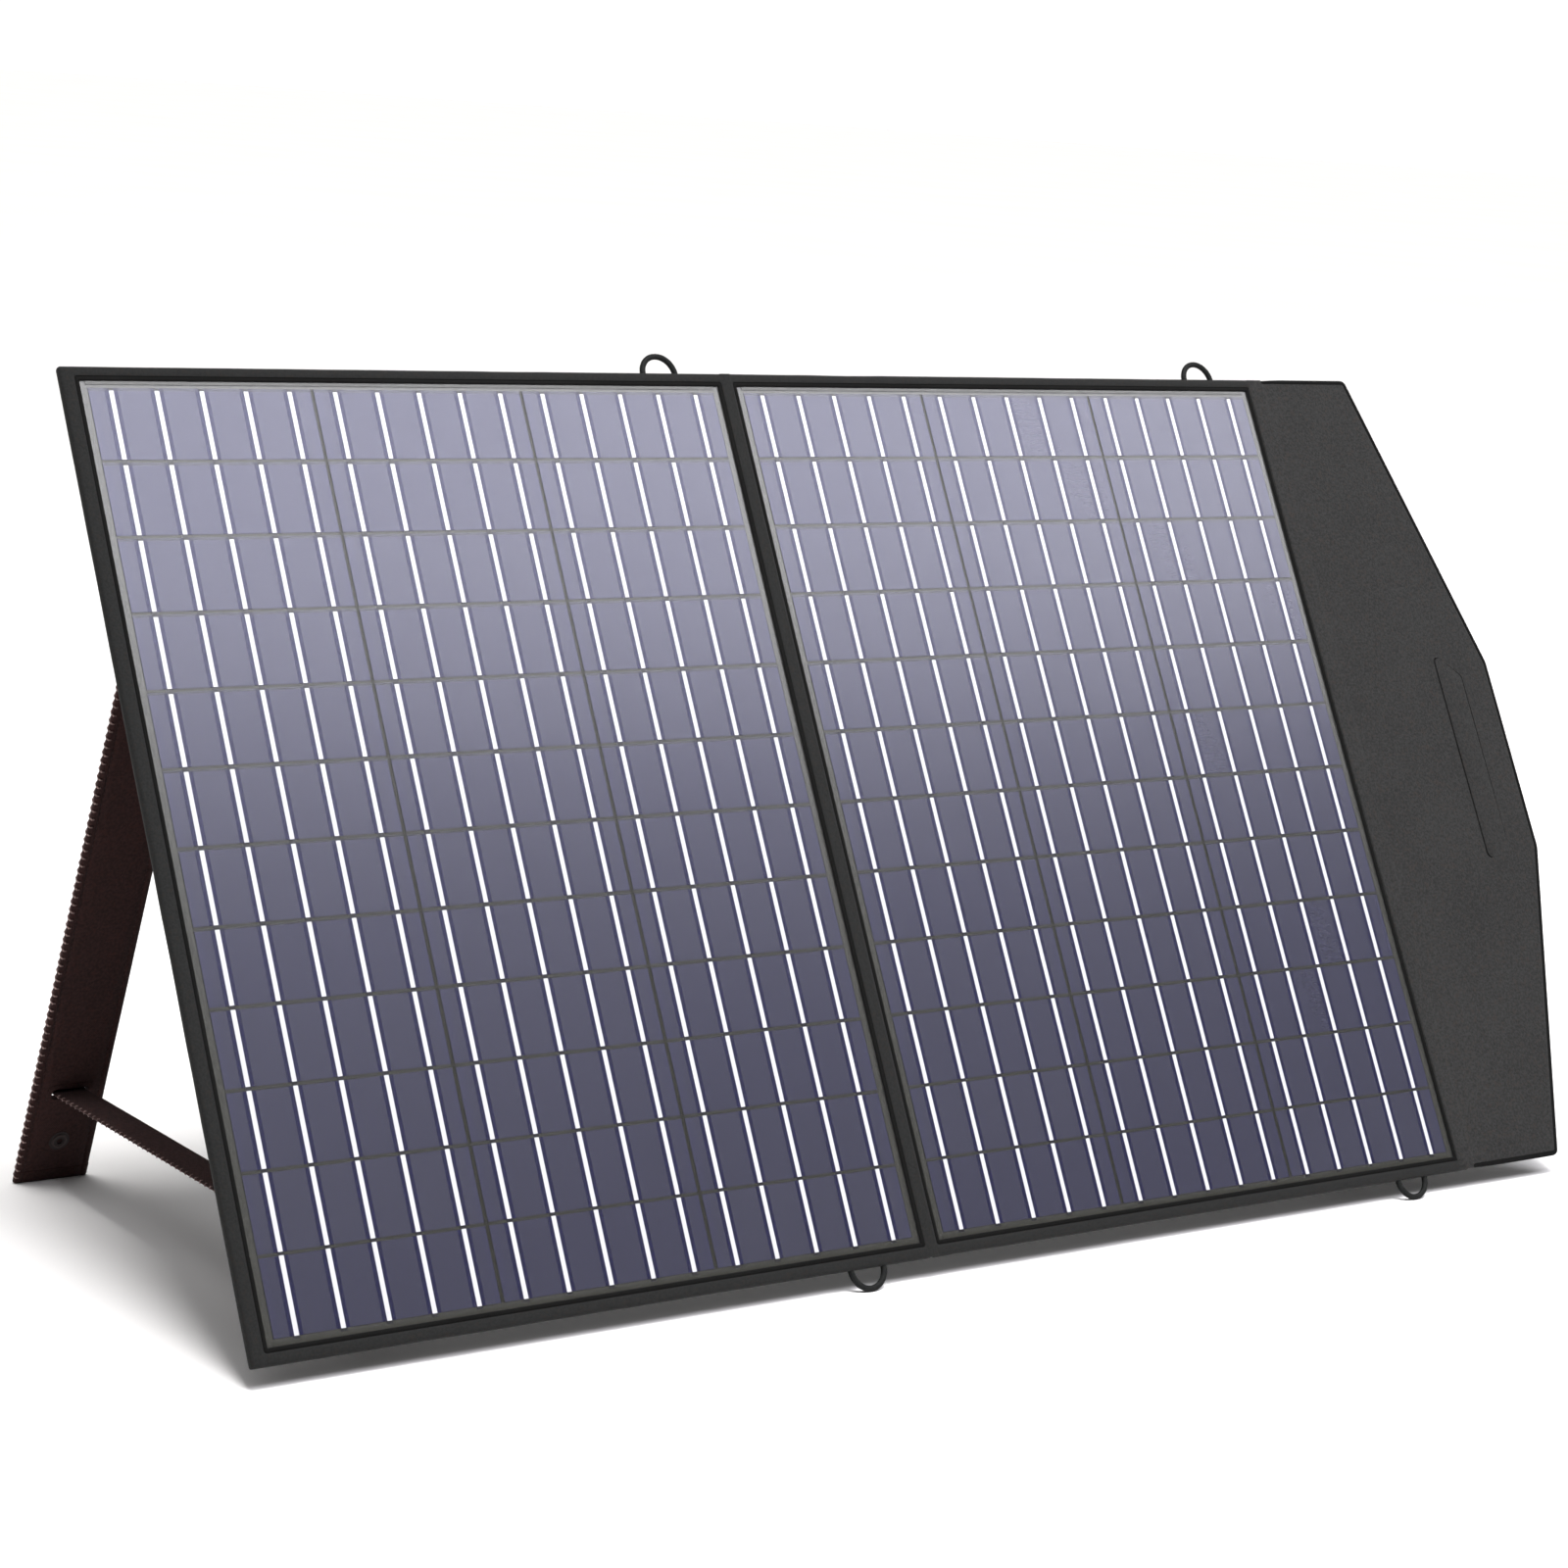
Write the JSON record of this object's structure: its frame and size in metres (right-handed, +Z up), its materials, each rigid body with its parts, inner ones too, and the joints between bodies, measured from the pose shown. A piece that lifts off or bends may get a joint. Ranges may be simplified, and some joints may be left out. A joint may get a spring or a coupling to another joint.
{
  "type": "folding solar panel",
  "caption": "Two-panel folding solar charger in a fabric case, standing on rear kickstand legs with stay straps, with a side handle flap and cord loops.",
  "frame": {"origin": "centre of the footprint, on the floor under the standing panel", "axes": "+X to the right along the panels as seen from the front, +Y towards the back where the legs stand, +Z up"},
  "size_m": [1.175, 0.4316, 0.5807],
  "materials": {
    "case_fabric": "matte woven polyester, dark grey",
    "flap_fabric": "matte woven polyester, dark grey",
    "leg_fabric": "matte woven polyester, near black brown",
    "webbing": "ribbed webbing, dark brown",
    "cord": "braided cord, black",
    "board": "stiff polypropylene sheet",
    "foam": "closed-cell foam",
    "backsheet": "light warm grey sheet",
    "silicon": "indigo-grey silicon under clear film",
    "ribbon": "tinned copper",
    "film": "clear matt film",
    "box_plastic": "moulded black plastic",
    "screw_steel": "zinc plated",
    "component": "moulded component",
    "snap_metal": "dark painted snap",
    "lead_rubber": "black lead sheath"
  },
  "bodies": {
    "right_panel": {"right_back_cover": "case_fabric", "right_side_binding": "case_fabric", "right_stiffener_board": "board", "right_edge_foam": "foam", "right_front_bezel": "case_fabric", "right_backsheet": "backsheet", "right_solar_cells": "silicon", "right_cell_ribbons": "ribbon", "right_front_film": "film", "right_top_loop": "cord", "right_bottom_loop": "cord", "right_junction_box": "box_plastic", "right_junction_lid": "box_plastic", "right_junction_screws": "screw_steel", "right_bypass_diodes": "component", "right_snap_stud": "snap_metal", "right_strap_patch": "webbing", "right_leg_hinge_patch": "leg_fabric", "right_leg_hinge_fabric": "leg_fabric", "right_stay_strap": "webbing", "output_gland": "box_plastic", "fold_hinge_fabric": "case_fabric", "flap_hinge_fabric": "flap_fabric", "fold_lead": "lead_rubber"},
    "left_panel": {"left_back_cover": "case_fabric", "left_side_binding": "case_fabric", "left_stiffener_board": "board", "left_edge_foam": "foam", "left_front_bezel": "case_fabric", "left_backsheet": "backsheet", "left_solar_cells": "silicon", "left_cell_ribbons": "ribbon", "left_front_film": "film", "left_top_loop": "cord", "left_bottom_loop": "cord", "left_junction_box": "box_plastic", "left_junction_lid": "box_plastic", "left_junction_screws": "screw_steel", "left_bypass_diodes": "component", "left_snap_stud": "snap_metal", "left_strap_patch": "webbing", "left_leg_hinge_patch": "leg_fabric", "left_leg_hinge_fabric": "leg_fabric", "left_stay_strap": "webbing"},
    "handle_flap": {"flap_front_fabric": "flap_fabric", "flap_stiffener": "board", "flap_back_fabric": "flap_fabric", "flap_edge_rim": "case_fabric"},
    "hole_tongue": {"hand_hole_tongue": "flap_fabric"},
    "left_leg": {"left_leg_sleeve": "leg_fabric", "left_leg_board": "board", "left_leg_foot_hem": "leg_fabric", "left_leg_slot_rim": "leg_fabric", "left_leg_snap": "snap_metal"},
    "right_leg": {"right_leg_sleeve": "leg_fabric", "right_leg_board": "board", "right_leg_foot_hem": "leg_fabric", "right_leg_slot_rim": "leg_fabric", "right_leg_snap": "snap_metal"}
  },
  "joints": [
    {"name": "panel_fold", "type": "hinge", "parent": "right_panel", "child": "left_panel", "pos_m": [-0.083, -0.05581, 0.29231], "axis": [0, 0.4886, 0.8725], "range_deg": [0, 180], "deforming": ["fold_hinge_fabric", "fold_lead"]},
    {"name": "flap_fold", "type": "hinge", "parent": "right_panel", "child": "handle_flap", "pos_m": [0.424, -0.05345, 0.291], "axis": [0, -0.4886, -0.8725], "range_deg": [-90, 90], "deforming": ["flap_hinge_fabric"]},
    {"name": "tongue_push", "type": "hinge", "parent": "handle_flap", "child": "hole_tongue", "pos_m": [0.5558, -0.05197, 0.29016], "axis": [0, -0.4886, -0.8725], "range_deg": [0, 75]},
    {"name": "left_leg_fold", "type": "hinge", "parent": "left_panel", "child": "left_leg", "pos_m": [-0.523, 0.04522, 0.45327], "axis": [-1, 0, 0], "range_deg": [0, 49.46], "deforming": ["left_leg_hinge_fabric", "left_stay_strap"]},
    {"name": "right_leg_fold", "type": "hinge", "parent": "right_panel", "child": "right_leg", "pos_m": [0.357, 0.04522, 0.45327], "axis": [-1, 0, 0], "range_deg": [0, 49.46], "deforming": ["right_leg_hinge_fabric", "right_stay_strap"]}
  ]
}
